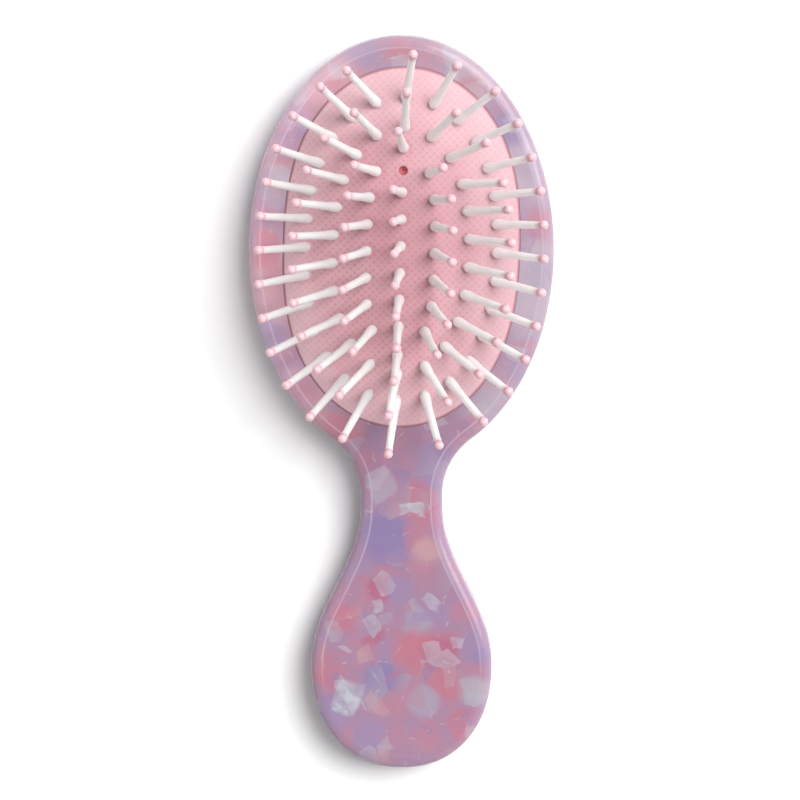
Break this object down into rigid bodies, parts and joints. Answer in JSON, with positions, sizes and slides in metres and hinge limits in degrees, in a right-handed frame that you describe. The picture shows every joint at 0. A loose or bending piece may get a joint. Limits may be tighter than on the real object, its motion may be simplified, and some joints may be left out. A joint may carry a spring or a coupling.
{
  "type": "vanity hairbrush",
  "caption": "Small oval air-cushion hairbrush: marbled acetate board with a teardrop handle, vented rubber pad and fanned nylon pins with ball tips.",
  "frame": {"origin": "centre of the bounding box in plan, on the plane of the board's flat back", "axes": "+Y along the board from the handle to the head, +Z out of the back through the pins, +X to the right seen from the pins"},
  "size_m": [0.0602, 0.146, 0.0352],
  "materials": {
    "acetate": "polished, marbled, translucent",
    "rubber_pad": "matt, fine dimpled texture",
    "nylon": "satin",
    "tip_coat": "dipped, slightly glossy"
  },
  "bodies": {
    "board": {"board": "acetate"},
    "cushion": {"cushion": "rubber_pad"},
    "outer_right_pair_1": {"pins_outer_right_pair_1": "nylon", "tips_outer_right_pair_1": "tip_coat"},
    "outer_right_pair_2": {"pins_outer_right_pair_2": "nylon", "tips_outer_right_pair_2": "tip_coat"},
    "outer_right_pair_3": {"pins_outer_right_pair_3": "nylon", "tips_outer_right_pair_3": "tip_coat"},
    "outer_right_pair_4": {"pins_outer_right_pair_4": "nylon", "tips_outer_right_pair_4": "tip_coat"},
    "outer_right_side": {"pins_outer_right_side": "nylon", "tips_outer_right_side": "tip_coat"},
    "outer_left_pair_1": {"pins_outer_left_pair_1": "nylon", "tips_outer_left_pair_1": "tip_coat"},
    "outer_left_pair_2": {"pins_outer_left_pair_2": "nylon", "tips_outer_left_pair_2": "tip_coat"},
    "outer_left_pair_3": {"pins_outer_left_pair_3": "nylon", "tips_outer_left_pair_3": "tip_coat"},
    "outer_left_pair_4": {"pins_outer_left_pair_4": "nylon", "tips_outer_left_pair_4": "tip_coat"},
    "outer_left_side": {"pins_outer_left_side": "nylon", "tips_outer_left_side": "tip_coat"},
    "second_right_pair_1": {"pins_second_right_pair_1": "nylon", "tips_second_right_pair_1": "tip_coat"},
    "second_right_pair_2": {"pins_second_right_pair_2": "nylon", "tips_second_right_pair_2": "tip_coat"},
    "second_right_pair_3": {"pins_second_right_pair_3": "nylon", "tips_second_right_pair_3": "tip_coat"},
    "second_right_side": {"pins_second_right_side": "nylon", "tips_second_right_side": "tip_coat"},
    "second_left_pair_1": {"pins_second_left_pair_1": "nylon", "tips_second_left_pair_1": "tip_coat"},
    "second_left_pair_2": {"pins_second_left_pair_2": "nylon", "tips_second_left_pair_2": "tip_coat"},
    "second_left_pair_3": {"pins_second_left_pair_3": "nylon", "tips_second_left_pair_3": "tip_coat"},
    "second_left_side": {"pins_second_left_side": "nylon", "tips_second_left_side": "tip_coat"},
    "third_right_pair_1": {"pins_third_right_pair_1": "nylon", "tips_third_right_pair_1": "tip_coat"},
    "third_right_side": {"pins_third_right_side": "nylon", "tips_third_right_side": "tip_coat"},
    "third_left_pair_1": {"pins_third_left_pair_1": "nylon", "tips_third_left_pair_1": "tip_coat"},
    "third_left_side": {"pins_third_left_side": "nylon", "tips_third_left_side": "tip_coat"},
    "outer_ends": {"pins_outer_ends": "nylon", "tips_outer_ends": "tip_coat"},
    "second_ends": {"pins_second_ends": "nylon", "tips_second_ends": "tip_coat"},
    "third_ends": {"pins_third_ends": "nylon", "tips_third_ends": "tip_coat"},
    "centre_row": {"pins_centre_row": "nylon", "tips_centre_row": "tip_coat"}
  },
  "joints": [
    {"name": "cushion_press", "type": "slide", "parent": "board", "child": "cushion", "axis": [0, 0, -1], "range_m": [0, 0.0025], "stiffness_N_per_m": 8000, "deforming": ["cushion"]},
    {"name": "lean_outer_right_pair_1", "type": "hinge", "parent": "cushion", "child": "outer_right_pair_1", "pos_m": [0.00537, 0.03124, 0.01291], "axis": [0.0297, 0.9996, 0], "range_deg": [-15, 15], "stiffness_Nm_per_rad": 0.04},
    {"name": "lean_outer_right_pair_2", "type": "hinge", "parent": "cushion", "child": "outer_right_pair_2", "pos_m": [0.01003, 0.0311, 0.01292], "axis": [0.0297, 0.9996, 0], "range_deg": [-15, 15], "stiffness_Nm_per_rad": 0.04},
    {"name": "lean_outer_right_pair_3", "type": "hinge", "parent": "cushion", "child": "outer_right_pair_3", "pos_m": [0.01359, 0.031, 0.01292], "axis": [0.0297, 0.9996, 0], "range_deg": [-15, 15], "stiffness_Nm_per_rad": 0.04},
    {"name": "lean_outer_right_pair_4", "type": "hinge", "parent": "cushion", "child": "outer_right_pair_4", "pos_m": [0.016, 0.03093, 0.01293], "axis": [0.0297, 0.9996, 0], "range_deg": [-15, 15], "stiffness_Nm_per_rad": 0.04},
    {"name": "lean_outer_right_side", "type": "hinge", "parent": "cushion", "child": "outer_right_side", "pos_m": [0.01786, 0.03087, 0.01293], "axis": [0.0297, 0.9996, 0], "range_deg": [-15, 15], "stiffness_Nm_per_rad": 0.1},
    {"name": "lean_outer_left_pair_1", "type": "hinge", "parent": "cushion", "child": "outer_left_pair_1", "pos_m": [-0.00537, 0.03156, 0.01291], "axis": [0.0297, 0.9996, 0], "range_deg": [-15, 15], "stiffness_Nm_per_rad": 0.04},
    {"name": "lean_outer_left_pair_2", "type": "hinge", "parent": "cushion", "child": "outer_left_pair_2", "pos_m": [-0.01003, 0.0317, 0.01292], "axis": [0.0297, 0.9996, 0], "range_deg": [-15, 15], "stiffness_Nm_per_rad": 0.04},
    {"name": "lean_outer_left_pair_3", "type": "hinge", "parent": "cushion", "child": "outer_left_pair_3", "pos_m": [-0.01359, 0.0318, 0.01292], "axis": [0.0297, 0.9996, 0], "range_deg": [-15, 15], "stiffness_Nm_per_rad": 0.04},
    {"name": "lean_outer_left_pair_4", "type": "hinge", "parent": "cushion", "child": "outer_left_pair_4", "pos_m": [-0.016, 0.03188, 0.01293], "axis": [0.0297, 0.9996, 0], "range_deg": [-15, 15], "stiffness_Nm_per_rad": 0.04},
    {"name": "lean_outer_left_side", "type": "hinge", "parent": "cushion", "child": "outer_left_side", "pos_m": [-0.01786, 0.03193, 0.01293], "axis": [0.0297, 0.9996, 0], "range_deg": [-15, 15], "stiffness_Nm_per_rad": 0.1},
    {"name": "lean_second_right_pair_1", "type": "hinge", "parent": "cushion", "child": "second_right_pair_1", "pos_m": [0.00508, 0.03125, 0.0153], "axis": [0.0297, 0.9996, 0], "range_deg": [-15, 15], "stiffness_Nm_per_rad": 0.04},
    {"name": "lean_second_right_pair_2", "type": "hinge", "parent": "cushion", "child": "second_right_pair_2", "pos_m": [0.0088, 0.03114, 0.0155], "axis": [0.0297, 0.9996, 0], "range_deg": [-15, 15], "stiffness_Nm_per_rad": 0.04},
    {"name": "lean_second_right_pair_3", "type": "hinge", "parent": "cushion", "child": "second_right_pair_3", "pos_m": [0.01111, 0.03107, 0.01565], "axis": [0.0297, 0.9996, 0], "range_deg": [-15, 15], "stiffness_Nm_per_rad": 0.04},
    {"name": "lean_second_right_side", "type": "hinge", "parent": "cushion", "child": "second_right_side", "pos_m": [0.01257, 0.03103, 0.01573], "axis": [0.0297, 0.9996, 0], "range_deg": [-15, 15], "stiffness_Nm_per_rad": 0.08},
    {"name": "lean_second_left_pair_1", "type": "hinge", "parent": "cushion", "child": "second_left_pair_1", "pos_m": [-0.00508, 0.03155, 0.0153], "axis": [0.0297, 0.9996, 0], "range_deg": [-15, 15], "stiffness_Nm_per_rad": 0.04},
    {"name": "lean_second_left_pair_2", "type": "hinge", "parent": "cushion", "child": "second_left_pair_2", "pos_m": [-0.0088, 0.03166, 0.0155], "axis": [0.0297, 0.9996, 0], "range_deg": [-15, 15], "stiffness_Nm_per_rad": 0.04},
    {"name": "lean_second_left_pair_3", "type": "hinge", "parent": "cushion", "child": "second_left_pair_3", "pos_m": [-0.01111, 0.03173, 0.01565], "axis": [0.0297, 0.9996, 0], "range_deg": [-15, 15], "stiffness_Nm_per_rad": 0.04},
    {"name": "lean_second_left_side", "type": "hinge", "parent": "cushion", "child": "second_left_side", "pos_m": [-0.01257, 0.03177, 0.01573], "axis": [0.0297, 0.9996, 0], "range_deg": [-15, 15], "stiffness_Nm_per_rad": 0.08},
    {"name": "lean_third_right_pair_1", "type": "hinge", "parent": "cushion", "child": "third_right_pair_1", "pos_m": [0.005, 0.03125, 0.01697], "axis": [0.0297, 0.9996, 0], "range_deg": [-15, 15], "stiffness_Nm_per_rad": 0.04},
    {"name": "lean_third_right_side", "type": "hinge", "parent": "cushion", "child": "third_right_side", "pos_m": [0.00626, 0.03121, 0.01765], "axis": [0.0297, 0.9996, 0], "range_deg": [-15, 15], "stiffness_Nm_per_rad": 0.1},
    {"name": "lean_third_left_pair_1", "type": "hinge", "parent": "cushion", "child": "third_left_pair_1", "pos_m": [-0.005, 0.03155, 0.01697], "axis": [0.0297, 0.9996, 0], "range_deg": [-15, 15], "stiffness_Nm_per_rad": 0.04},
    {"name": "lean_third_left_side", "type": "hinge", "parent": "cushion", "child": "third_left_side", "pos_m": [-0.00626, 0.03159, 0.01765], "axis": [0.0297, 0.9996, 0], "range_deg": [-15, 15], "stiffness_Nm_per_rad": 0.1},
    {"name": "lean_outer_ends", "type": "hinge", "parent": "cushion", "child": "outer_ends", "pos_m": [0, 0.0314, 0.01291], "axis": [0.0297, 0.9996, 0], "range_deg": [-15, 15], "stiffness_Nm_per_rad": 0.04},
    {"name": "lean_second_ends", "type": "hinge", "parent": "cushion", "child": "second_ends", "pos_m": [0, 0.0314, 0.01519], "axis": [0.0297, 0.9996, 0], "range_deg": [-15, 15], "stiffness_Nm_per_rad": 0.04},
    {"name": "lean_third_ends", "type": "hinge", "parent": "cushion", "child": "third_ends", "pos_m": [0, 0.0314, 0.01636], "axis": [0.0297, 0.9996, 0], "range_deg": [-15, 15], "stiffness_Nm_per_rad": 0.04},
    {"name": "lean_centre_row", "type": "hinge", "parent": "cushion", "child": "centre_row", "pos_m": [-0.00004, 0.03, 0.01817], "axis": [0.0297, 0.9996, 0], "range_deg": [-15, 15], "stiffness_Nm_per_rad": 0.12}
  ]
}
